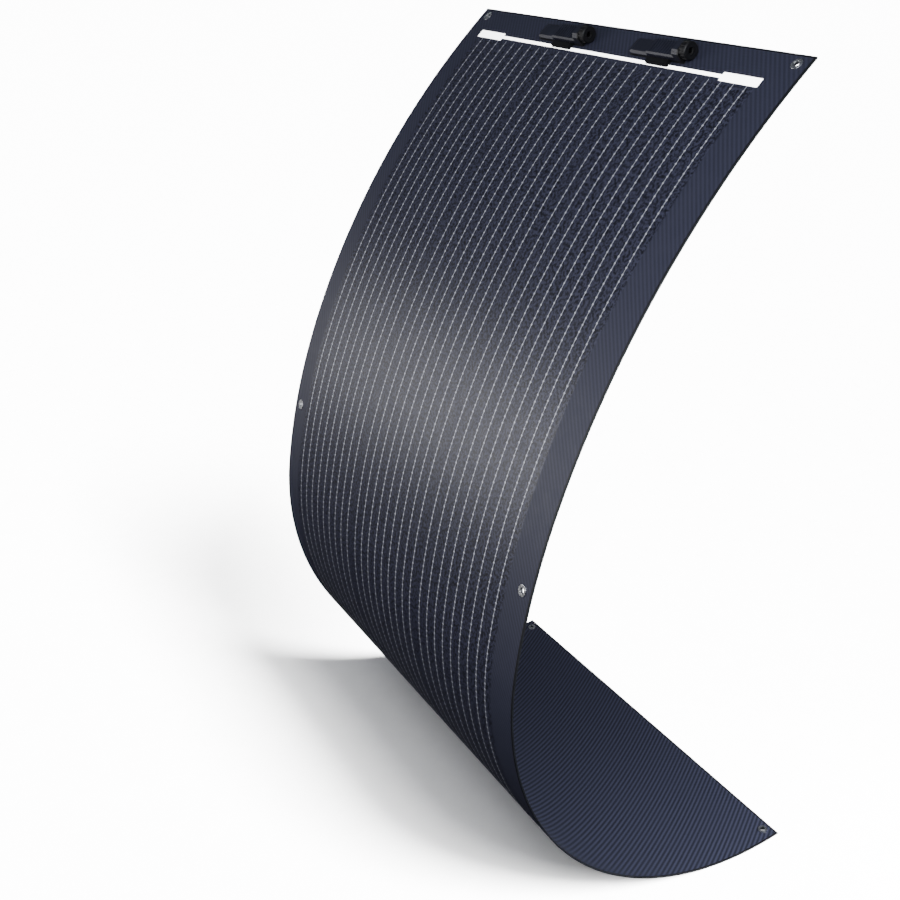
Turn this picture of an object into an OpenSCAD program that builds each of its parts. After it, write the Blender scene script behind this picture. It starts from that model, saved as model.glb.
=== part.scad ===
// Flexible solar sheet: a thin laminate that bends along its length, with two junction boxes.
// X points the way the lying end points, Y across the sheet, Z up. Millimetres.
// The origin is the middle of the top eyelet pair, on the front (cell) face.

/* [Sheet] */
// Width across the sheet
sheet_w = 545; // [540:1:600]
// Length along the front face
sheet_l = 1262; // [1255:1:1300]
// Front film with its bonding layer
film_t = 0.7; // [0.5:0.1:1.2]
// Thickness of the cells
cell_t = 0.3; // [0.2:0.05:0.5]
// Back sheet
back_t = 1; // [0.8:0.1:1.5]
// Direction of the sheet at its top edge, below the horizontal
top_slope = 42; // [30:1:50]
// Bend radius of the upper part
bend_upper = 940; // [800:10:1200]
// Bend radius where the two bends meet
bend_middle = 770; // [500:10:900]
// Bend radius of the lower part
bend_lower = 337; // [320:1:450]

/* [Cells] */
// First cell row, from the top edge
cells_from = 44.2; // [43.5:0.1:50]
// Pitch of the cell rows
row_pitch = 83.8; // [80:0.1:84]
// Half cell, along the sheet
cell_l = 78.4; // [74:0.1:79]
// Cell width, across the sheet
cell_w = 156.6; // [154:0.1:158]
// Pitch of the cell columns
col_pitch = 158.6; // [158.2:0.1:160]
// First cell column, from the near edge
cells_near = 40; // [36:1:44]
// Pitch of the wires on a cell
wire_pitch = 17.1; // [16:0.1:17.4]
// Width of one wire
wire_w = 0.6; // [0.3:0.1:1]
// Depth of one wire
wire_t = 0.35; // [0.2:0.05:0.4]

/* [Bus bars] */
// Top bus bar, from the top edge
bus_from = 34.6; // [33.5:0.1:34.8]
// Width of the bus bar along the sheet
bus_w = 4; // [3.5:0.5:6]
// Width of its end pads along the sheet
pad_w = 10; // [8:0.5:11]
// Length of its end pads
pad_l = 51; // [30:1:70]
// Bus bar end, from the near edge
bus_near = 38; // [34:1:60]
// Bus bar end, from the far edge
bus_far = 28; // [25:1:60]
// Bus bar thickness
bus_t = 0.3; // [0.2:0.05:0.4]

/* [Eyelets] */
// Outside diameter
eyelet_d = 12; // [10:0.5:14]
// Hole diameter
eyelet_hole = 6; // [4:0.5:7]
// Distance from the side edges
eyelet_side = 15; // [12:0.5:20]
// Distance from the end edges
eyelet_end = 11; // [9:0.5:16]
// Middle pair, from the top edge
eyelet_mid = 547; // [530:1:560]

/* [Junction boxes] */
// Near box, from the near edge
box_near = 138; // [100:1:180]
// Far box, from the near edge
box_far = 302; // [280:1:400]
// Middle line of the boxes, from the top edge
box_s = 20; // [19.5:0.5:21]
// Width of a box along the sheet
box_w = 19; // [18:0.5:21]
// Length of a box across the sheet, with its nut
box_l = 94; // [92:1:100]
// Height of the tall housing
tall_h = 16; // [15:0.5:17]
// Height of the ribbed body
body_h = 9; // [8:0.5:10]
// Height of the low end
end_h = 6.4; // [6:0.2:7]
// Cable gland nut diameter
nut_d = 17.5; // [16:0.5:18]
// Cable opening diameter
cable_d = 6; // [5:0.5:7]

/* [Hidden] */
$fn = 96;
DEG = 180 / PI;
STRIPS = 11;
COLUMNS = 3;
WIRES = 9;
bend_r = [for (i = [0:STRIPS - 1]) i < 3 ? bend_upper : i == 3 ? bend_middle : bend_lower];
total_t = film_t + cell_t + back_t;
under = film_t + cell_t;
half_w = sheet_w / 2;
rows_end = cells_from + 14 * row_pitch;
row_y = cells_near - sheet_w / 2;
field_w = (COLUMNS - 1) * col_pitch + cell_w;
eyelet_y = half_w - eyelet_side;
barrel_r = eyelet_hole / 2 + 0.6;
hole_r = barrel_r + 0.1;
lip_r = 0.4;
barrel_out = 0.9;
washer_t = 0.6;
washer_out = 0.72;
ribbon_y = -50;
ribbon_w = 8;
ribbon_t = 0.3;
strip_gap = 0.2;
wire_gap = 0.02;
cell_gap = 0.5;
bus_gap = 5;
bus_mid = bus_from + bus_w / 2;
bus_low = rows_end + bus_gap + bus_w / 2;
y_near = box_near - half_w;
y_far = box_far - half_w;
// A box in its own frame: y from its near end, x up the sheet from its middle line.
box_shift = -1.5;
box_x0 = box_shift - box_w / 2;
box_x1 = box_shift + box_w / 2;
glue_t = 0.8;
floor_z = 2.2;
split_z = 3.4;
wall_t = 1.6;
roof_t = 1.8;
front_y = 9;
cavity_y = 11;
tall_to = 19;
body_to = 62;
cavity_to = 86;
slope_from = 88;
corner_r = 7;
tall_edge = 3.5;
body_edge = 1.6;
low_edge = 2.2;
low_roof = 1.4;
foot_y = 27.5;
foot_l = 32;
foot_out = 17.6;
foot_h = 4.4;
rib_y = 29;
rib_pitch = 4;
rib_w = 1.5;
rib_out = 0.5;
rib_in = 1.5;
RIBS = 8;
link_x = -15.8;
link_y = 38;
link_l = 12;
link_t = 1;
link_gap = 0.4;
plate_t = 0.8;
plate_to = -2;
plate_x = -6;
plate_y = 13;
plate_w = 10;
plate_l = 13;
lead_x = -4;
lead_z = 4.4;
lead_d = 0.8;
post_d = 0.9;
post_y = [23, 46];
lead_out = 0.8;
diode_y = 31;
diode_d = 4;
diode_l = 7;
gland_z = nut_d / 2 + 0.6;
spigot_r = 6;
spigot_y = 3;
nut_l = 8.4;
nut_plate = 1.6;
seal_y = 1.7;
seal_t = 1.2;
nut_edge = 0.8;
NOTCHES = 12;
notch_r = 0.8;
// How far a cutter runs past what it cuts.
over = 1;

// Strips break between cell rows: one row in the first, two in the next three, then one each.
function first_row(i) = i == 0 ? 0 : i <= 4 ? 2 * i - 1 : i + 3;
function rows(i) = i >= 1 && i <= 3 ? 2 : 1;
function edge(i) = i <= 0 ? 0 : i >= STRIPS ? sheet_l : cells_from + row_pitch * first_row(i);
// Where the solids of a strip start and end, clear of their neighbours.
function starts(i, first) = i == 0 ? first : edge(i) + strip_gap / 2;
function ends(i, last) = i == STRIPS - 1 ? last : edge(i + 1) - strip_gap / 2;
function wire_y(c, k) = row_y + c * col_pitch + cell_w / 2 + (k - (WIRES - 1) / 2) * wire_pitch;
// Direction of the sheet at the start of a strip.
function th(i) = i == 0 ? top_slope - 180 : th(i - 1) + (edge(i) - edge(i - 1)) / bend_r[i - 1] * DEG;
function p0x() = -bend_r[0] * (sin(th(0) + eyelet_end / bend_r[0] * DEG) - sin(th(0)));
function p0z() = bend_r[0] * (cos(th(0) + eyelet_end / bend_r[0] * DEG) - cos(th(0)));
function px(i) = i == 0 ? p0x() : px(i - 1) + bend_r[i - 1] * (sin(th(i)) - sin(th(i - 1)));
function pz(i) = i == 0 ? p0z() : pz(i - 1) - bend_r[i - 1] * (cos(th(i)) - cos(th(i - 1)));
function cx(i) = px(i) - bend_r[i] * sin(th(i));
function cz(i) = pz(i) + bend_r[i] * cos(th(i));
function strip_of(s) = max([for (i = [0:STRIPS - 1]) if (s >= edge(i)) i]);
function th_at(s) = th(strip_of(s)) + (s - edge(strip_of(s))) / bend_r[strip_of(s)] * DEG;

// Sweeps a section (x = height over the front face, y = across) from s0 to s1 in strip i.
module sweep(i, s0, s1) {
    a0 = th(i) - 90 + (s0 - edge(i)) / bend_r[i] * DEG;
    translate([cx(i), 0, cz(i)])
    rotate([90, 0, 0])
    rotate([0, 0, a0])
    rotate_extrude(angle = (s1 - s0) / bend_r[i] * DEG, $fn = 360)
    translate([bend_r[i], 0])
    mirror([0, 1])
    children();
}

// Local frame on the front face: x up the sheet, y across, z outwards.
module on_face(s, y) {
    i = strip_of(s);
    translate([cx(i) + bend_r[i] * sin(th_at(s)), y, cz(i) - bend_r[i] * cos(th_at(s))])
    rotate([0, 180 - th_at(s), 0])
    children();
}

module slab(x0, x1, y0, y1) {
    translate([x0, y0])
    square([x1 - x0, y1 - y0]);
}

module wire_rows(x0, x1, w) {
    for (c = [0:COLUMNS - 1])
        for (k = [0:WIRES - 1])
            slab(x0, x1, wire_y(c, k) - w / 2, wire_y(c, k) + w / 2);
}

// ---- laminate ----
// What the cells and wires take out of the film.
module film_grooves() {
    slab(-under - over, -film_t, row_y - cell_gap, row_y + field_w + cell_gap);
    wire_rows(-wire_t, over, wire_w);
}

module eyelet_cut(s) {
    for (y = [-eyelet_y, eyelet_y])
        on_face(s, y)
        translate([0, 0, -total_t - over])
        cylinder(r = hole_r, h = total_t + 2 * over, $fn = 48);
}

module bus_bar(i, s_mid, up, down) {
    difference() {
        sweep(i, s_mid - pad_w / 2, s_mid + pad_w / 2)
        slab(-down, up, -half_w + bus_near, half_w - bus_far);
        sweep(i, s_mid - pad_w, s_mid - bus_w / 2)
        slab(-down - over, up + over, -half_w + bus_near + pad_l, half_w - bus_far - pad_l);
        sweep(i, s_mid + bus_w / 2, s_mid + pad_w)
        slab(-down - over, up + over, -half_w + bus_near + pad_l, half_w - bus_far - pad_l);
    }
}

module film(i) {
    color([0.06, 0.07, 0.12])
    difference() {
        sweep(i, starts(i, 0), ends(i, sheet_l)) slab(-under, 0, -half_w, half_w);
        sweep(i, i == 0 ? cells_from : edge(i) - over, i == STRIPS - 1 ? rows_end : edge(i + 1) + over)
        film_grooves();
        if (i == 0) bus_bar(0, bus_mid, 1, bus_t);
        if (i == STRIPS - 1) bus_bar(STRIPS - 1, bus_low, 1, bus_t);
        if (i == 0) eyelet_cut(eyelet_end);
        if (i == 3) eyelet_cut(eyelet_mid);
        if (i == STRIPS - 1) eyelet_cut(sheet_l - eyelet_end);
    }
}

module cells(i) {
    color([0.05, 0.06, 0.11])
    for (k = [0:rows(i) - 1])
        for (c = [0:COLUMNS - 1]) {
            s = cells_from + row_pitch * (first_row(i) + k + 0.5);
            y = row_y + c * col_pitch;
            sweep(i, s - cell_l / 2, s + cell_l / 2) slab(-under, -film_t, y, y + cell_w);
        }
}

module return_ribbon(i) {
    sweep(i, starts(i, bus_from), ends(i, bus_low))
    slab(-under - 2 * ribbon_t, -under - ribbon_t, ribbon_y - ribbon_w / 2, ribbon_y + ribbon_w / 2);
}

// The wires on the front and the return ribbon inside the back sheet.
module wires(i) {
    color([0.75, 0.77, 0.8]) {
        sweep(i, starts(i, cells_from), ends(i, rows_end)) wire_rows(wire_gap - wire_t, 0, wire_w - 2 * wire_gap);
        return_ribbon(i);
    }
}

module back(i) {
    color([0.07, 0.08, 0.13])
    difference() {
        sweep(i, starts(i, 0), ends(i, sheet_l)) slab(-total_t, -under, -half_w, half_w);
        return_ribbon(i);
        if (i == 0) eyelet_cut(eyelet_end);
        if (i == 3) eyelet_cut(eyelet_mid);
        if (i == STRIPS - 1) eyelet_cut(sheet_l - eyelet_end);
    }
}

module bus_top() {
    color([0.9, 0.9, 0.88])
    bus_bar(0, bus_mid, 0, bus_t);
}

module bus_bottom() {
    color([0.9, 0.9, 0.88])
    bus_bar(STRIPS - 1, bus_low, 0, bus_t);
}

// ---- eyelets: a flanged barrel from the front and a washer behind ----
module eyelet_pair(s) {
    color([0.85, 0.86, 0.88])
    for (y = [-eyelet_y, eyelet_y])
        on_face(s, y) {
            rotate_extrude($fn = 96)
            difference() {
                union() {
                    slab(eyelet_hole / 2, barrel_r, -total_t - barrel_out, lip_r);
                    slab(eyelet_hole / 2, eyelet_d / 2 - lip_r, 0, 2 * lip_r);
                    translate([eyelet_d / 2 - lip_r, lip_r]) circle(r = lip_r, $fn = 32);
                }
                translate([eyelet_hole / 2, 2 * lip_r]) circle(r = lip_r, $fn = 32);
            }
            difference() {
                translate([0, 0, -total_t - washer_out]) cylinder(d = eyelet_d - 1, h = washer_t);
                translate([0, 0, -total_t - 2 * over]) cylinder(r = barrel_r + 0.02, h = 3 * over);
            }
        }
}

// ---- junction boxes, each drawn from its own near end ----
module at_box(y0) {
    translate([0, y0, 0])
    children();
}

module each_box() {
    at_box(y_near) children();
    at_box(y_far) children();
}

module glue() {
    edge_in = 0.4;
    color([0.12, 0.12, 0.12])
    difference() {
        union() {
            sweep(0, box_s - box_x1 + edge_in, box_s - box_x0 - edge_in)
            slab(0, glue_t, front_y + edge_in, box_l - over);
            sweep(0, box_s - box_x0 - over, box_s + foot_out - edge_in)
            slab(0, glue_t, foot_y + edge_in, foot_y + foot_l - edge_in);
        }
        on_face(box_s, 0) link_slot(link_gap + 0.2);
    }
}

// The way down for the link, wider than the link by a gap on every side.
module link_slot(gap) {
    translate([link_x - gap, link_y - gap, -over])
    cube([link_t + 2 * gap, link_l + 2 * gap, floor_z + link_t + over]);
}

module housing_profile(h, edge_in, z0) {
    polygon([[box_x0, z0], [box_x1, z0], [box_x1, h - edge_in], [box_x1 - edge_in, h],
             [box_x0 + edge_in, h], [box_x0, h - edge_in]]);
}

// Extrudes a profile (x, z) along the box from y0 to y1.
module along(y0, y1) {
    translate([0, y1, 0])
    rotate([90, 0, 0])
    linear_extrude(height = y1 - y0)
    children();
}

// Plan of the box, its low end rounded at the corners.
module box_block(z0, z1) {
    far_y = box_l - corner_r;
    right = [for (a = [0:15:90]) [box_x1 - corner_r + corner_r * cos(a), far_y + corner_r * sin(a)]];
    left = [for (a = [90:15:180]) [box_x0 + corner_r + corner_r * cos(a), far_y + corner_r * sin(a)]];
    translate([0, 0, z0])
    linear_extrude(height = z1 - z0)
    polygon(concat([[box_x0, front_y], [box_x1, front_y]], right, left));
}

// Tapers the low end towards its far edge.
module end_taper() {
    translate([box_x1 + over, 0, 0])
    rotate([90, 0, -90])
    linear_extrude(height = box_w + 2 * over)
    polygon([[over - body_to, split_z], [-box_l - over, split_z], [-box_l - over, split_z + 0.8],
             [-slope_from, end_h], [over - body_to, end_h]]);
}

module cavity(y0, y1, z0, z1) {
    translate([box_x0 + wall_t, y0, z0])
    cube([box_w - 2 * wall_t, y1 - y0, z1 - z0]);
}

module gland_cylinder(y0, y1, r) {
    translate([box_shift, y0, gland_z])
    rotate([-90, 0, 0])
    cylinder(r = r, h = y1 - y0);
}

module box_base() {
    color([0.05, 0.05, 0.055])
    on_face(box_s, 0)
    difference() {
        union() {
            box_block(glue_t, split_z);
            translate([-foot_out, foot_y, glue_t]) cube([foot_out, foot_l, split_z - glue_t]);
            translate([-foot_out, foot_y, glue_t]) cube([foot_out + box_x0 - rib_out - 0.2, foot_l, foot_h - glue_t]);
            along(front_y, cavity_y) housing_profile(tall_h, tall_edge, glue_t);
            gland_cylinder(spigot_y, cavity_y, spigot_r);
        }
        cavity(cavity_y, cavity_to, floor_z, split_z + over);
        translate([link_x - link_gap, link_y - link_gap, floor_z])
        cube([box_x0 + wall_t + over - link_x, link_l + 2 * link_gap, link_t]);
        link_slot(link_gap);
        gland_cylinder(0, cavity_y + over, cable_d / 2);
    }
}

module box_lid() {
    color([0.05, 0.05, 0.055])
    on_face(box_s, 0)
    difference() {
        union() {
            along(cavity_y, tall_to) housing_profile(tall_h, tall_edge, split_z);
            along(tall_to - over, body_to) housing_profile(body_h, body_edge, split_z);
            for (k = [0:RIBS - 1]) {
                y = rib_y + rib_pitch * k;
                translate([box_x0 - rib_out, y, split_z])
                cube([box_w + 2 * rib_out, rib_w, body_h - split_z - rib_in]);
                translate([box_x0 + rib_in, y, body_h - over])
                cube([box_w - 2 * rib_in, rib_w, over + rib_out]);
            }
            intersection() {
                box_block(split_z, end_h);
                end_taper();
                along(body_to - over, box_l) housing_profile(end_h, low_edge, split_z);
            }
        }
        cavity(cavity_y - over, tall_to - wall_t, split_z - over, tall_h - roof_t);
        cavity(cavity_y - over, body_to - wall_t, split_z - over, body_h - roof_t);
        cavity(cavity_y - over, cavity_to, split_z - over, end_h - low_roof);
    }
}

// Two plates; the first has the link down to the bus bar.
module contacts() {
    color([0.8, 0.6, 0.25])
    on_face(box_s, 0) {
        translate([link_x, link_y, floor_z]) cube([plate_to - link_x, link_l, plate_t]);
        translate([link_x, link_y, 0]) cube([link_t, link_l, floor_z + plate_t / 2]);
        translate([plate_x, plate_y, floor_z]) cube([plate_w, plate_l, plate_t]);
    }
}

module diode() {
    color([0.1, 0.1, 0.1])
    on_face(box_s, 0)
    translate([lead_x, 0, 0]) {
        translate([0, diode_y, lead_z]) rotate([-90, 0, 0]) cylinder(d = diode_d, h = diode_l);
        translate([0, post_y[0] - lead_out, lead_z])
        rotate([-90, 0, 0])
        cylinder(d = lead_d, h = post_y[1] - post_y[0] + 2 * lead_out, $fn = 24);
        for (y = post_y)
            translate([0, y, floor_z + plate_t]) cylinder(d = post_d, h = lead_z - floor_z - plate_t, $fn = 24);
    }
}

module seal() {
    color([0.15, 0.15, 0.15])
    on_face(box_s, 0)
    difference() {
        gland_cylinder(seal_y, seal_y + seal_t, spigot_r - 0.1);
        gland_cylinder(seal_y - 1, seal_y + seal_t + 1, cable_d / 2);
    }
}

module nut() {
    color([0.05, 0.05, 0.055])
    on_face(box_s, 0)
    translate([box_shift, 0, gland_z])
    rotate([-90, 0, 0])
    difference() {
        union() {
            cylinder(d1 = nut_d - 2 * nut_edge, d2 = nut_d, h = nut_edge);
            translate([0, 0, nut_edge]) cylinder(d = nut_d, h = nut_l - nut_edge);
        }
        translate([0, 0, -over]) cylinder(d = cable_d + 1.2, h = nut_l);
        translate([0, 0, nut_plate]) cylinder(r = spigot_r + 0.06, h = nut_l);
        for (k = [0:NOTCHES - 1])
            rotate([0, 0, (k + 0.5) * 360 / NOTCHES])
            translate([nut_d / 2 + 0.2, 0, nut_plate])
            cylinder(r = notch_r, h = nut_l, $fn = 24);
    }
}

film(0);  // film_0
film(1);  // film_1
film(2);  // film_2
film(3);  // film_3
film(4);  // film_4
film(5);  // film_5
film(6);  // film_6
film(7);  // film_7
film(8);  // film_8
film(9);  // film_9
film(10);  // film_10
cells(0);  // cells_0
cells(1);  // cells_1
cells(2);  // cells_2
cells(3);  // cells_3
cells(4);  // cells_4
cells(5);  // cells_5
cells(6);  // cells_6
cells(7);  // cells_7
cells(8);  // cells_8
cells(9);  // cells_9
cells(10);  // cells_10
wires(0);  // wires_0
wires(1);  // wires_1
wires(2);  // wires_2
wires(3);  // wires_3
wires(4);  // wires_4
wires(5);  // wires_5
wires(6);  // wires_6
wires(7);  // wires_7
wires(8);  // wires_8
wires(9);  // wires_9
wires(10);  // wires_10
back(0);  // back_0
back(1);  // back_1
back(2);  // back_2
back(3);  // back_3
back(4);  // back_4
back(5);  // back_5
back(6);  // back_6
back(7);  // back_7
back(8);  // back_8
back(9);  // back_9
back(10);  // back_10
bus_top();
bus_bottom();
eyelet_pair(eyelet_end);  // eyelets_top
eyelet_pair(eyelet_mid);  // eyelets_mid
eyelet_pair(sheet_l - eyelet_end);  // eyelets_bottom
each_box() glue();  // glue_pads
each_box() contacts();
each_box() diode();  // diodes
each_box() seal();  // seals
at_box(y_near) box_base();  // base_near
at_box(y_near) box_lid();  // lid_near
at_box(y_near) nut();  // nut_near
at_box(y_far) box_base();  // base_far
at_box(y_far) box_lid();  // lid_far
at_box(y_far) nut();  // nut_far
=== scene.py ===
# Flexible solar sheet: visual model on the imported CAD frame.
# Row frame in metres: X towards the lying end, Y across the sheet, Z up.
import bmesh
import bpy
import math
from mathutils import Matrix, Vector


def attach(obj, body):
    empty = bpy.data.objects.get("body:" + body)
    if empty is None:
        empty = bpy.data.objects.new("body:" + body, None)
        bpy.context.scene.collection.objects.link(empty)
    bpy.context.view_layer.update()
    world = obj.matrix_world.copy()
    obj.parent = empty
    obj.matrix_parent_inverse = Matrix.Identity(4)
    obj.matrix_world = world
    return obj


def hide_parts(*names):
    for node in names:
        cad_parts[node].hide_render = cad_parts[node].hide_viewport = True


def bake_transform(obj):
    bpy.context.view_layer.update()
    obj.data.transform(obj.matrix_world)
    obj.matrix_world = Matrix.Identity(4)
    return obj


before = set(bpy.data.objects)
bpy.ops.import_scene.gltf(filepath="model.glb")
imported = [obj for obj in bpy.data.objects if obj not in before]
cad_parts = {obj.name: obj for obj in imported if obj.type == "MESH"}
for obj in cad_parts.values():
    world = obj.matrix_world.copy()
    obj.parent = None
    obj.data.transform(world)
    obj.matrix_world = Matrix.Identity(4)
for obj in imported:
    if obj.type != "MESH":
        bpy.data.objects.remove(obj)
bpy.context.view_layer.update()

MM = 0.001
WIDTH = 545 * MM
LENGTH = 1262 * MM
FRONT_T = 1.0 * MM
TOTAL_T = 2.0 * MM
# strips of the CAD: bend radius of each, and where it starts along the front face
BEND = [940 * MM] * 3 + [770 * MM] + [337 * MM] * 7
CELLS_FROM = 44.2 * MM
PITCH = 83.8 * MM
FIRST_ROW = [0, 1, 3, 5, 7, 8, 9, 10, 11, 12, 13]
EDGE = [0] + [CELLS_FROM + PITCH * r for r in FIRST_ROW[1:]] + [LENGTH]
TOP_DIR = math.radians(-138)
# eyelets: from the end edges, from the side edges, and the place of the middle pair
EYELET_END = 11 * MM
EYELET_SIDE = 15 * MM
EYELET_MID = 547 * MM
HOLE_R = 3.7 * MM
HOLE_SIDES = 40
CUT_DEPTH = 12 * MM
LAST = len(BEND)

# direction and start point of each strip
DIR = [TOP_DIR]
for i in range(LAST):
    DIR.append(DIR[-1] + (EDGE[i + 1] - EDGE[i]) / BEND[i])
EYELET_DIR = TOP_DIR + EYELET_END / BEND[0]
START = [(-BEND[0] * (math.sin(EYELET_DIR) - math.sin(TOP_DIR)),
          BEND[0] * (math.cos(EYELET_DIR) - math.cos(TOP_DIR)))]
for i in range(LAST):
    x, z = START[-1]
    START.append((x + BEND[i] * (math.sin(DIR[i + 1]) - math.sin(DIR[i])),
                  z - BEND[i] * (math.cos(DIR[i + 1]) - math.cos(DIR[i]))))


def strip_at(s):
    """Strip that holds s, and the direction of the sheet there."""
    i = 0
    while i < LAST - 1 and s > EDGE[i + 1]:
        i += 1
    return i, DIR[i] + (s - EDGE[i]) / BEND[i]


def place(s, y, up=0.0):
    """Point at s along the front face, y across, up above the face."""
    i, t = strip_at(s)
    x = START[i][0] + BEND[i] * (math.sin(t) - math.sin(DIR[i]))
    z = START[i][1] - BEND[i] * (math.cos(t) - math.cos(DIR[i]))
    return Vector((x + math.sin(t) * up, y, z - math.cos(t) * up))


def on_face(s, y):
    """Matrix of a frame on the front face: x up the sheet, y across, z outwards."""
    t = strip_at(s)[1]
    up_sheet = Vector((-math.cos(t), 0, -math.sin(t)))
    out = Vector((math.sin(t), 0, -math.cos(t)))
    m = Matrix((up_sheet, Vector((0, 1, 0)), out)).transposed().to_4x4()
    m.translation = place(s, y)
    return m


# ---------------------------------------------------------------- materials
class Nodes:
    """One material and short ways to write its nodes."""

    def __init__(self, name):
        self.mat = bpy.data.materials.new(name)
        self.mat.use_nodes = True
        self.tree = self.mat.node_tree
        self.bsdf = self.tree.nodes["Principled BSDF"]

    def new(self, kind, **props):
        n = self.tree.nodes.new(kind)
        for prop, value in props.items():
            setattr(n, prop, value)
        return n

    def put(self, socket, value):
        """Links value to the socket, or sets it there if it is a plain value."""
        if isinstance(value, bpy.types.NodeSocket):
            self.tree.links.new(value, socket)
        else:
            socket.default_value = value

    def math(self, op, a, b=0.0, c=0.0):
        n = self.new("ShaderNodeMath", operation=op)
        for socket, value in zip(n.inputs, (a, b, c)):
            self.put(socket, value)
        return n.outputs[0]

    def mix(self, fac, a, b):
        n = self.new("ShaderNodeMix", data_type="RGBA")
        self.put(n.inputs[0], fac)
        self.put(n.inputs[6], a)
        self.put(n.inputs[7], b)
        return n.outputs[2]

    def band(self, value, lo, hi, to_lo=0.0, to_hi=1.0):
        """Smooth step from to_lo to to_hi, while value goes from lo to hi."""
        n = self.new("ShaderNodeMapRange", interpolation_type="SMOOTHSTEP")
        for socket, setting in zip(n.inputs, (value, lo, hi, to_lo, to_hi)):
            self.put(socket, setting)
        return n.outputs[0]

    def noise(self, vector, scale, detail=2.0, rough=0.5):
        n = self.new("ShaderNodeTexNoise")
        self.put(n.inputs["Vector"], vector)
        self.put(n.inputs["Scale"], scale)
        self.put(n.inputs["Detail"], detail)
        self.put(n.inputs["Roughness"], rough)
        return n.outputs[0]

    def bump(self, height, distance, strength=1.0, normal=None):
        n = self.new("ShaderNodeBump")
        self.put(n.inputs["Height"], height)
        n.inputs["Distance"].default_value = distance
        n.inputs["Strength"].default_value = strength
        if normal is not None:
            self.put(n.inputs["Normal"], normal)
        return n.outputs[0]

    def uv(self):
        """The place on the sheet as one vector, then s along it and w across it, in metres."""
        n = self.new("ShaderNodeUVMap", uv_map="sheet")
        parts = self.new("ShaderNodeSeparateXYZ")
        self.put(parts.inputs[0], n.outputs[0])
        return n.outputs[0], parts.outputs[0], parts.outputs[1]

    def obj(self):
        return self.new("ShaderNodeTexCoord").outputs["Object"]

    def set(self, **settings):
        """Sets the surface and hands back the finished material."""
        for setting, value in settings.items():
            self.put(self.bsdf.inputs[setting.replace("_", " ")], value)
        return self.mat


WEAVE_PITCH = 5.8 * MM
FRONT_SLOPE, REAR_SLOPE = 0.84, -0.64


def weave(n, s, w, slope):
    """Two waves from -1 to 1: the ribs on one diagonal, and the cross threads on the other."""
    turns = 2 * math.pi / WEAVE_PITCH
    shift = n.math("MULTIPLY", s, slope)
    rib = n.math("SINE", n.math("MULTIPLY", n.math("ADD", shift, w), turns))
    cross = n.math("SINE", n.math("MULTIPLY", n.math("SUBTRACT", w, shift), turns))
    return rib, cross


RIM = 2.4 * MM
RIM_COLOR = (0.006, 0.006, 0.009, 1)
# middle line of each soft edge of the cell field, and half the width of that edge
FIELD_W = (39.5 * MM, 514.5 * MM)
FIELD_S = (44 * MM, 1218 * MM)
FIELD_SOFT = 1 * MM
LAMINATE_IOR = 1.45


def rim(n, s, w):
    """1 in the bare rim that runs round the laminate, 0 inside it."""
    near_edge = n.math("MINIMUM", n.math("MINIMUM", w, n.math("SUBTRACT", WIDTH, w)),
                       n.math("MINIMUM", s, n.math("SUBTRACT", LENGTH, s)))
    return n.band(near_edge, 0.8 * RIM, RIM, 1.0, 0.0)


def inside(n, value, ends):
    """1 between the two ends, 0 outside them."""
    lo, hi = ends
    rise = n.band(value, lo - FIELD_SOFT, lo + FIELD_SOFT)
    fall = n.band(value, hi - FIELD_SOFT, hi + FIELD_SOFT, 1.0, 0.0)
    return n.math("MULTIPLY", rise, fall)


def face_material():
    """Front film: weave in the margins, grain over the cells, soft sheen."""
    n = Nodes("laminate_front")
    vec, s, w = n.uv()
    rib, cross = weave(n, s, w, FRONT_SLOPE)
    # cell field, which shows the grain of the cells instead of the weave
    field = n.math("MULTIPLY", inside(n, w, FIELD_W), inside(n, s, FIELD_S))
    grain = n.noise(vec, scale=310.0, detail=3.0, rough=0.75)
    tone = n.noise(vec, scale=60.0, detail=3.0, rough=0.55)
    margin = n.mix(n.band(rib, -1.0, 1.0), (0.028, 0.030, 0.051, 1), (0.043, 0.045, 0.077, 1))
    cells = n.mix(n.band(grain, 0.45, 0.55), (0.003, 0.0032, 0.007, 1), (0.056, 0.058, 0.097, 1))
    cells = n.mix(n.math("MULTIPLY", n.band(rib, -1.0, 1.0), 0.16), cells, (0.037, 0.039, 0.066, 1))
    base = n.mix(field, margin, cells)
    base = n.mix(n.math("MULTIPLY", n.band(tone, 0.4, 0.7), 0.2), base, (0.042, 0.044, 0.074, 1))
    base = n.mix(rim(n, s, w), base, RIM_COLOR)
    threads = n.math("MULTIPLY", n.math("MULTIPLY", rib, cross), 0.25)
    height = n.math("ADD", n.math("MULTIPLY", rib, 0.5), threads)
    weave_bump = n.bump(height, distance=0.06 * MM, strength=0.6)
    n.put(n.bsdf.inputs["Normal"], n.bump(grain, distance=0.06 * MM, strength=0.6, normal=weave_bump))
    # the margins are a little duller than the cells
    gloss = n.band(tone, 0.3, 0.7, 0.39, 0.43)
    rough = n.math("ADD", gloss, n.math("MULTIPLY", n.math("SUBTRACT", 1.0, field), 0.12))
    return n.set(Base_Color=base, Roughness=rough, IOR=LAMINATE_IOR)


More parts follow.
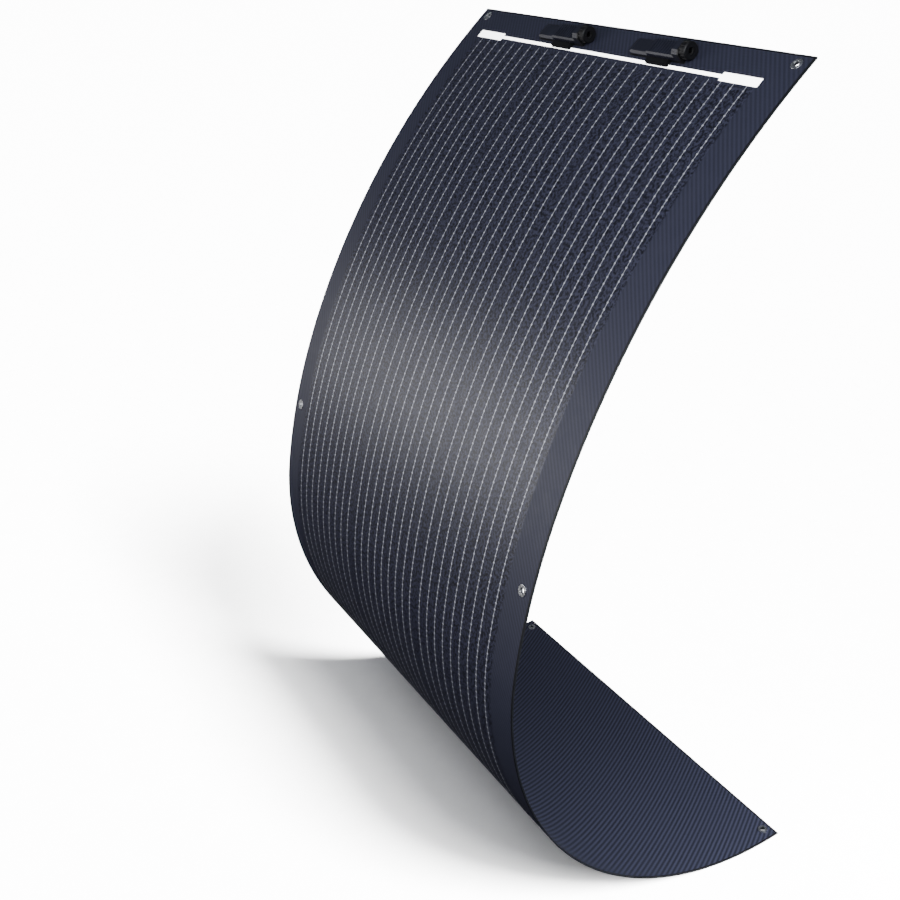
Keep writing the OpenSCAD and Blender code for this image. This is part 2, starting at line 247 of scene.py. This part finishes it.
def rear_material():
    """Back sheet: the same twill all over, on the other diagonal."""
    n = Nodes("laminate_back")
    vec, s, w = n.uv()
    rib, cross = weave(n, s, w, REAR_SLOPE)
    grain = n.noise(vec, scale=1400.0, detail=2.0, rough=0.6)
    tone = n.noise(vec, scale=25.0, detail=3.0, rough=0.55)
    base = n.mix(n.band(rib, -1.0, 1.0), (0.015, 0.016, 0.028, 1), (0.051, 0.054, 0.092, 1))
    base = n.mix(n.math("MULTIPLY", n.band(tone, 0.35, 0.7), 0.2), base, (0.032, 0.034, 0.058, 1))
    base = n.mix(rim(n, s, w), base, RIM_COLOR)
    height = n.math("ADD", n.math("MULTIPLY", rib, 0.6), n.math("MULTIPLY", cross, 0.15))
    weave_bump = n.bump(height, distance=0.12 * MM, strength=0.8)
    n.put(n.bsdf.inputs["Normal"], n.bump(grain, distance=0.04 * MM, strength=0.5, normal=weave_bump))
    return n.set(Base_Color=base, Roughness=0.5, IOR=LAMINATE_IOR)


def metal(name, color, rough, scale=900.0, metallic=1.0):
    """Metal with fine grain in its tone, gloss and surface."""
    n = Nodes(name)
    grain = n.noise(n.obj(), scale, detail=3.0, rough=0.6)
    n.put(n.bsdf.inputs["Normal"], n.bump(grain, distance=0.02 * MM, strength=0.5))
    dark = tuple(0.8 * c for c in color[:3]) + (1,)
    return n.set(Base_Color=n.mix(n.band(grain, 0.35, 0.65), dark, color),
                 Roughness=n.band(grain, 0.3, 0.7, rough - 0.05, rough + 0.07), Metallic=metallic)


def plastic(name, color, rough, scale=1500.0, depth=0.03 * MM, light=1.5):
    """Moulded plastic, with a fine grain and slow changes of tone up to light times the colour."""
    n = Nodes(name)
    where = n.obj()
    grain = n.noise(where, scale, detail=3.0, rough=0.6)
    tone = n.noise(where, scale=40.0, detail=3.0, rough=0.5)
    n.put(n.bsdf.inputs["Normal"], n.bump(grain, distance=depth, strength=0.7))
    lit = tuple(min(1.0, light * c) for c in color[:3]) + (1,)
    return n.set(Base_Color=n.mix(n.band(tone, 0.35, 0.7), color, lit),
                 Roughness=n.band(grain, 0.3, 0.7, rough - 0.05, rough + 0.08))


def ribbon_material():
    """White cover of the bus bars."""
    n = Nodes("bus_cover")
    grain = n.noise(n.obj(), scale=700.0, detail=3.0, rough=0.6)
    n.put(n.bsdf.inputs["Normal"], n.bump(grain, distance=0.03 * MM, strength=0.5))
    white = n.mix(n.band(grain, 0.35, 0.65), (0.83, 0.83, 0.83, 1), (0.92, 0.92, 0.92, 1))
    return n.set(Base_Color=white, Roughness=0.45)


M_FACE = face_material()
M_REAR = rear_material()
M_WIRE = metal("tinned_wire", (0.68, 0.69, 0.76, 1), 0.45, metallic=0.25)
M_BUS = ribbon_material()
M_RING = metal("eyelet_metal", (0.86, 0.87, 0.88, 1), 0.28, scale=500.0)
M_BOX = plastic("box_plastic", (0.003, 0.003, 0.004, 1), 0.5)
# painted light: the lid gets a lighter, bluer black than the box and nut, standing in for light on its
# top faces
M_LID_LIT = plastic("lid_plastic_lit", (0.014, 0.015, 0.026, 1), 0.42)
M_GLUE = plastic("adhesive", (0.02, 0.02, 0.02, 1), 0.6)
M_BRASS = metal("brass", (0.76, 0.56, 0.24, 1), 0.3)
M_DIODE = plastic("diode_case", (0.012, 0.012, 0.012, 1), 0.3)
M_SEAL = plastic("seal_rubber", (0.02, 0.02, 0.021, 1), 0.65)
M_EDGE = plastic("laminate_edge", (0.012, 0.013, 0.018, 1), 0.5)

CAD_MATERIALS = {
    "film": M_FACE, "cells": M_FACE, "back": M_REAR, "wires": M_WIRE, "bus": M_BUS, "eyelets": M_RING,
    "base": M_BOX, "lid": M_LID_LIT, "nut": M_BOX, "glue": M_GLUE, "contacts": M_BRASS, "diodes": M_DIODE,
    "seals": M_SEAL,
}
for name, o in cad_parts.items():
    o.data.materials.clear()
    o.data.materials.append(CAD_MATERIALS[name.split("_")[0]])


# ---------------------------------------------------------------- meshes
def add(name, verts, faces, mats, slots=None, uvs=None):
    """New mesh object; slots hold the material of each face, uvs the place of each vertex."""
    mesh = bpy.data.meshes.new(name)
    mesh.from_pydata([tuple(v) for v in verts], [], faces)
    for mat in mats:
        mesh.materials.append(mat)
    if slots:
        mesh.polygons.foreach_set("material_index", slots)
    if uvs:
        layer = mesh.uv_layers.new(name="sheet")
        flat = []
        for face in mesh.polygons:
            for v in face.vertices:
                flat.extend(uvs[v])
        layer.data.foreach_set("uv", flat)
    mesh.update()
    o = bpy.data.objects.new(name, mesh)
    bpy.context.scene.collection.objects.link(o)
    return o


def smooth_by_angle(o, angle):
    """Smooth shading, with edges above angle (degrees) left sharp."""
    mesh = o.data
    mesh.polygons.foreach_set("use_smooth", [True] * len(mesh.polygons))
    mesh.set_sharp_from_angle(angle=math.radians(angle))


def steps(s0, s1, step):
    """Even places from s0 to s1, about one step apart."""
    count = max(1, round((s1 - s0) / step))
    return [s0 + (s1 - s0) * k / count for k in range(count + 1)]


def tube_faces(m, rings, base=0):
    """Faces of a closed tube: m sides between each two rings of vertices, then both ends."""
    faces = []
    for k in range(rings - 1):
        for j in range(m):
            a, b = base + m * k + j, base + m * k + (j + 1) % m
            faces.append((a, b, b + m, a + m))
    faces.append(tuple(base + j for j in range(m)))
    faces.append(tuple(base + m * (rings - 1) + j for j in range(m)))
    return faces


def face_outwards(o):
    """Turns all faces outwards."""
    bm = bmesh.new()
    bm.from_mesh(o.data)
    bmesh.ops.recalc_face_normals(bm, faces=bm.faces)
    bm.to_mesh(o.data)
    bm.free()


EDGE_ROUND = 0.25 * MM
SHEET_STEP = 2.2 * MM


def slab(name, s0, s1, top, bottom, mat, on_top):
    """Closed piece of the laminate from s0 to s1; mat shows on its top or its underside."""
    r = EDGE_ROUND
    half = WIDTH / 2
    if on_top:
        section = [(-half, bottom), (-half, top - r), (-half + r, top),
                   (half - r, top), (half, top - r), (half, bottom)]
        shown = 2
    else:
        section = [(-half, bottom + r), (-half, top), (half, top),
                   (half, bottom + r), (half - r, bottom), (-half + r, bottom)]
        shown = 4
    along = steps(s0, s1, SHEET_STEP)
    verts = [place(s, y, up) for s in along for y, up in section]
    uvs = [(s, y + half) for s in along for y, up in section]
    faces = tube_faces(len(section), len(along))
    slots = [0 if i % len(section) == shown else 1 for i in range(len(faces) - 2)] + [1, 1]
    o = add(name, verts, faces, [mat, M_EDGE], slots, uvs)
    face_outwards(o)
    return o


def punch(o, s):
    """Cuts the two eyelet holes at s through o."""
    bm = bmesh.new()
    for y in (-WIDTH / 2 + EYELET_SIDE, WIDTH / 2 - EYELET_SIDE):
        bmesh.ops.create_cone(bm, cap_ends=True, segments=HOLE_SIDES, radius1=HOLE_R, radius2=HOLE_R,
                              depth=CUT_DEPTH, matrix=on_face(s, y))
    mesh = bpy.data.meshes.new("cut")
    bm.to_mesh(mesh)
    bm.free()
    cutter = bpy.data.objects.new("cut", mesh)
    bpy.context.scene.collection.objects.link(cutter)
    cut = o.modifiers.new("cut", "BOOLEAN")
    cut.operation = "DIFFERENCE"
    cut.solver = "EXACT"
    cut.object = cutter
    bpy.context.view_layer.update()
    punched = bpy.data.meshes.new_from_object(o.evaluated_get(bpy.context.evaluated_depsgraph_get()))
    o.modifiers.clear()
    o.data = punched
    bpy.data.objects.remove(cutter)


# nine wires on each of the three columns of cells
COLUMNS, WIRES = 3, 9
# distance of the first column from the near edge, and the width of a cell
CELLS_NEAR, CELL_W = 40 * MM, 156.6 * MM
COLUMN_PITCH, WIRE_PITCH = 158.6 * MM, 17.1 * MM
FIRST_WIRE = -WIDTH / 2 + CELLS_NEAR + CELL_W / 2 - WIRE_PITCH * (WIRES - 1) / 2
WIRE_Y = [FIRST_WIRE + COLUMN_PITCH * c + WIRE_PITCH * k for c in range(COLUMNS) for k in range(WIRES)]
WIRE_FROM, WIRE_TO = 41.8 * MM, 1218.6 * MM
# half width and height of a wire, and of the solder dots along it
WIRE_HALF, DOT_HALF = 0.38 * MM, 1.15 * MM
WIRE_UP, DOT_UP = 0.09 * MM, 0.17 * MM
WIRE_SUNK = -0.15 * MM
# half length of a dot where it is widest, and over its whole length
DOT_FLAT, DOT_LONG = 0.65 * MM, 1.1 * MM
DOTS_PER_CELL = 12
DOT_PITCH = PITCH / DOTS_PER_CELL
# height of a wire's side and shoulder, as parts of its full height
SIDE_UP, SHOULDER_UP = 0.3, 0.85
LEAST_STEP = 0.001 * MM


def wire_knots():
    """(s, half width, height) along one wire, wider and higher at each solder dot."""
    out = [(WIRE_FROM, WIRE_HALF, WIRE_UP)]
    s = CELLS_FROM + DOT_PITCH / 2
    while s + DOT_LONG < WIRE_TO:
        out += [(s - DOT_LONG, WIRE_HALF, WIRE_UP), (s - DOT_FLAT, DOT_HALF, DOT_UP),
                (s + DOT_FLAT, DOT_HALF, DOT_UP), (s + DOT_LONG, WIRE_HALF, WIRE_UP)]
        s += DOT_PITCH
    return out + [(WIRE_TO, WIRE_HALF, WIRE_UP)]


KNOTS = wire_knots()


def knot_at(s):
    """Knot at s, worked out between the two knots round it."""
    i = max(j for j in range(len(KNOTS) - 1) if KNOTS[j][0] <= s)
    a, b = KNOTS[i], KNOTS[i + 1]
    f = (s - a[0]) / (b[0] - a[0])
    return s, a[1] + (b[1] - a[1]) * f, a[2] + (b[2] - a[2]) * f


def cut_knots(s0, s1):
    """The knots between s0 and s1, with one worked out at each end."""
    s0, s1 = max(s0, WIRE_FROM), min(s1, WIRE_TO)
    out = [knot_at(s0)] + [k for k in KNOTS if s0 < k[0] < s1] + [knot_at(s1)]
    return [k for i, k in enumerate(out) if i == 0 or k[0] - out[i - 1][0] > LEAST_STEP]


def wire_section(half, up):
    """(y, height) round a wire, from one sunk corner over the crest to the other."""
    side, shoulder = SIDE_UP * up, SHOULDER_UP * up
    return ((-half, WIRE_SUNK), (-half, side), (-half / 2, shoulder), (0, up),
            (half / 2, shoulder), (half, side), (half, WIRE_SUNK))


def wire_piece(name, s0, s1):
    """All 27 wires from s0 to s1."""
    sections = [(s, wire_section(half, up)) for s, half, up in cut_knots(s0, s1)]
    sides = len(sections[0][1])
    verts, faces = [], []
    for y in WIRE_Y:
        faces += tube_faces(sides, len(sections), base=len(verts))
        verts += [place(s, y + dy, up) for s, section in sections for dy, up in section]
    o = add(name, verts, faces, [M_WIRE])
    face_outwards(o)
    smooth_by_angle(o, 50)
    return o


# ---------------------------------------------------------------- laminate
# piece 0 and piece 11 ride the end strips; piece k lies over the hinge between strip k-1 and strip k
SEAM = [0.0] + [(EDGE[i] + EDGE[i + 1]) / 2 for i in range(LAST)] + [LENGTH]
# the middle eyelets would lie on the seam before this piece, so that seam moves up
MID_PIECE = 4
UNBENT = 16 * MM
LAYER_GAP = 0.01 * MM
for k in range(LAST + 1):
    s0, s1 = SEAM[k], SEAM[k + 1]
    turn_from, turn_to = s0, s1
    if k == MID_PIECE:
        s0, turn_from = s0 - UNBENT, s0 + UNBENT
    if k == MID_PIECE - 1:
        s1, turn_to = s1 - UNBENT, s1 - UNBENT
    face = slab(f"front_sheet_{k}", s0, s1, 0.0, -FRONT_T + LAYER_GAP, M_FACE, True)
    rear = slab(f"rear_sheet_{k}", s0, s1, -FRONT_T, -TOTAL_T, M_REAR, False)
    wires = wire_piece(f"wire_grid_{k}", s0, s1)
    for s in (EYELET_END, EYELET_MID, LENGTH - EYELET_END):
        if s0 < s < s1:
            punch(face, s)
            punch(rear, s)
    for o in (face, rear):
        smooth_by_angle(o, 30)
    if k < LAST:
        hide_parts(f"film_{k}", f"cells_{k}")
        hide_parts(f"back_{k}")
        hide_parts(f"wires_{k}")
    for o in (face, rear, wires):
        if k in (0, LAST):
            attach(o, f"strip_{min(k, LAST - 1)}")
        else:
            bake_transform(o)


# ---------------------------------------------------------------- bus bars
# half width of a bar and of its pads, and the length of a pad
BUS_HALF, PAD_HALF = 2 * MM, 5 * MM
PAD_LONG = 51 * MM
# distance of the pads from the side edges, and of the bars from the top and bottom ends
BUS_TO_NEAR, BUS_TO_FAR = 38 * MM, 28 * MM
BUS_TO_TOP, BUS_TO_BOTTOM = 36.6 * MM, 37.6 * MM
BUS_CORNER, BUS_CHAMFER = 0.9 * MM, 0.08 * MM
BUS_SUNK, BUS_UP = -0.1 * MM, 0.22 * MM


def rounded(points, r, n=4):
    """Outline with its corners rounded, in n steps each."""
    out = []
    for i, p in enumerate(points):
        a, b = Vector(points[i - 1]), Vector(points[(i + 1) % len(points)])
        p = Vector(p)
        u, v = (a - p).normalized(), (b - p).normalized()
        for k in range(n + 1):
            f = k / n
            out.append((1 - f) ** 2 * (p + u * r) + 2 * f * (1 - f) * p + f * f * (p + v * r))
    return out


def plate(name, outline, up0, up1, chamfer, mat):
    """Thin plate on the front face, from up0 to up1 above it; outline in (s, y)."""
    m = len(outline)
    area = sum(outline[i - 1].x * outline[i].y - outline[i].x * outline[i - 1].y for i in range(m))
    side = 1 if area > 0 else -1
    inset = []
    for i in range(m):
        d = (outline[(i + 1) % m] - outline[i - 1]).normalized()
        inset.append(outline[i] + Vector((-d.y, d.x)) * side * chamfer)
    rings = [(outline, up0), (outline, up1 - chamfer), (inset, up1)]
    verts = [place(p.x, p.y, up) for ring, up in rings for p in ring]
    o = add(name, verts, tube_faces(m, len(rings)), [mat])
    face_outwards(o)
    smooth_by_angle(o, 35)
    return o


def bus(name, s_mid, body, node):
    """Bus bar across the sheet at s_mid, with a wider pad at each end."""
    y0, y1 = -WIDTH / 2 + BUS_TO_NEAR, WIDTH / 2 - BUS_TO_FAR
    side = [(PAD_HALF, y0), (PAD_HALF, y0 + PAD_LONG), (BUS_HALF, y0 + PAD_LONG),
            (BUS_HALF, y1 - PAD_LONG), (PAD_HALF, y1 - PAD_LONG), (PAD_HALF, y1)]
    outline = [(s_mid - half, y) for half, y in side] + [(s_mid + half, y) for half, y in reversed(side)]
    o = plate(name, rounded(outline, BUS_CORNER), BUS_SUNK, BUS_UP, BUS_CHAMFER, M_BUS)
    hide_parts(node)
    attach(o, body)


bus("bus_ribbon_top", BUS_TO_TOP, "strip_0", "bus_top")
bus("bus_ribbon_bottom", LENGTH - BUS_TO_BOTTOM, "strip_10", "bus_bottom")

# ---------------------------------------------------------------- boxes: softened edges on the CAD pieces
BOX_ROUND = 0.35 * MM
for name in ("base_near", "lid_near", "nut_near", "base_far", "lid_far", "nut_far"):
    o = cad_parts[name]
    flat = o.modifiers.new("flat", "DECIMATE")
    flat.decimate_type = "DISSOLVE"
    flat.angle_limit = math.radians(1)
    soft = o.modifiers.new("soft", "BEVEL")
    soft.width = BOX_ROUND
    soft.segments = 2
    soft.limit_method = "ANGLE"
    soft.angle_limit = math.radians(40)

# ---------------------------------------------------------------- floor, light, camera
FLOOR_GAP = 0.3 * MM
FLOOR_Z = min(place(s, 0).z for s in steps(0, LENGTH, 2 * MM)) - FLOOR_GAP
FLOOR_HALF = 30


def aim(o, location, target):
    """Puts o at location and turns it to look at target."""
    bpy.context.scene.collection.objects.link(o)
    o.location = location
    o.rotation_euler = (Vector(target) - Vector(location)).to_track_quat("-Z", "Y").to_euler()
    return o


def softbox(name, location, target, size_x, size_y, power, color=(1, 1, 1)):
    """Lamp with a rectangular face, which the camera doesn't see."""
    light = bpy.data.lights.new(name, "AREA")
    light.shape = "RECTANGLE"
    light.size = size_x
    light.size_y = size_y
    light.energy = power
    light.color = color
    o = aim(bpy.data.objects.new(name, light), location, target)
    o.visible_camera = False
    return o


paper = plastic("paper", (0.86, 0.86, 0.86, 1), 0.9, scale=200.0, depth=0.02 * MM, light=1.02)
corners = [(FLOOR_HALF * x, FLOOR_HALF * y, FLOOR_Z) for x, y in ((-1, -1), (1, -1), (1, 1), (-1, 1))]
floor = add("floor", corners, [(0, 1, 2, 3)], [paper])
floor.visible_glossy = False
floor.visible_diffuse = False

# three distant lamps that whiten the floor only: power, angle across in degrees, and direction;
# the sheet still throws its shadow, which the wider lamps soften
FLOOR_LAMPS = {
    "floor_lamp": (52, 18, (0.2, -0.9, 1.0)),
    "floor_soft": (14, 26, (0.08, -0.98, 1.0)),
    "floor_glow": (3, 44, (-0.08, -0.9, 1.0)),
}
only_floor = bpy.data.collections.new("only_floor")
only_floor.objects.link(floor)
for name, (power, angle, direction) in FLOOR_LAMPS.items():
    lamp = bpy.data.lights.new(name, "SUN")
    lamp.energy = power
    lamp.angle = math.radians(angle)
    sun = aim(bpy.data.objects.new(name, lamp), direction, (0, 0, 0))
    sun.light_linking.receiver_collection = only_floor

# a lamp that keeps the two covered bus bars white
only_bus = bpy.data.collections.new("only_bus")
for name in ("bus_ribbon_top", "bus_ribbon_bottom"):
    ribbon = bpy.data.objects[name]
    only_bus.objects.link(ribbon)
    ribbon.visible_glossy = False
    ribbon.visible_diffuse = False
bus_lamp = softbox("bus_lamp", (-1.0, -0.9, 1.1), (0, 0, 0), 0.8, 0.8, 300)
bus_lamp.light_linking.receiver_collection = only_bus

PALE, COOL = (0.99, 0.98, 1.0), (0.92, 0.95, 1.0)
# the soft band across the middle of the front
softbox("band", (-1.92, 1.30, -0.22), (-0.25, -0.1, -0.33), 1.7, 0.75, 21, PALE)
# soft light from the camera's side
softbox("fill", (-0.75, -1.7, 0.8), (-0.15, -0.27, -0.2), 1.1, 0.9, 15, COOL)
softbox("near", (-0.75, -0.75, 0.25), (-0.12, -0.25, -0.2), 0.5, 0.5, 6, COOL)
# light on the lying end, from its near side
softbox("low", (0.3, -0.55, -0.6), (0.08, -0.25, -0.9), 0.3, 0.25, 4.8, COOL)

# the room: faint bluish light that grows from below to above; the camera itself sees plain white
SKY_COLOR = (0.86, 0.93, 1.1, 1)
SKY_FROM, SKY_TO = -0.35, 0.5
SKY_DIM, SKY_BRIGHT = 0.01, 0.11
BACKDROP_BRIGHT = 16.0


def studio():
    """World with the room's light and the white backdrop."""
    world = bpy.data.worlds.new("studio")
    world.use_nodes = True
    nodes, link = world.node_tree.nodes, world.node_tree.links.new
    sky = nodes["Background"]
    backdrop = nodes.new("ShaderNodeBackground")
    sky.inputs["Color"].default_value = SKY_COLOR
    backdrop.inputs["Color"].default_value = (1, 1, 1, 1)
    backdrop.inputs["Strength"].default_value = BACKDROP_BRIGHT
    direction = nodes.new("ShaderNodeTexCoord")
    parts = nodes.new("ShaderNodeSeparateXYZ")
    ramp = nodes.new("ShaderNodeMapRange")
    ramp.interpolation_type = "SMOOTHSTEP"
    for socket, value in zip(list(ramp.inputs)[1:5], (SKY_FROM, SKY_TO, SKY_DIM, SKY_BRIGHT)):
        socket.default_value = value
    link(direction.outputs["Generated"], parts.inputs[0])
    link(parts.outputs["Z"], ramp.inputs[0])
    link(ramp.outputs[0], sky.inputs["Strength"])
    path = nodes.new("ShaderNodeLightPath")
    choice = nodes.new("ShaderNodeMixShader")
    link(path.outputs["Is Camera Ray"], choice.inputs[0])
    link(sky.outputs[0], choice.inputs[1])
    link(backdrop.outputs[0], choice.inputs[2])
    link(choice.outputs[0], nodes["World Output"].inputs[0])
    return world


bpy.context.scene.world = studio()

# camera: its place, the angle it looks down, and its turn about the upright
CAMERA_AT = (-0.8038, -1.0484, 0.1359)
LOOKS_DOWN, TURN = math.radians(25.06), math.radians(-29.886)
lens = bpy.data.cameras.new("camera")
lens.sensor_width = 36
lens.lens = 47.706
camera = bpy.data.objects.new("camera", lens)
bpy.context.scene.collection.objects.link(camera)
camera.location = CAMERA_AT
camera.rotation_euler = (math.radians(90) - LOOKS_DOWN, 0, TURN)
bpy.context.scene.camera = camera
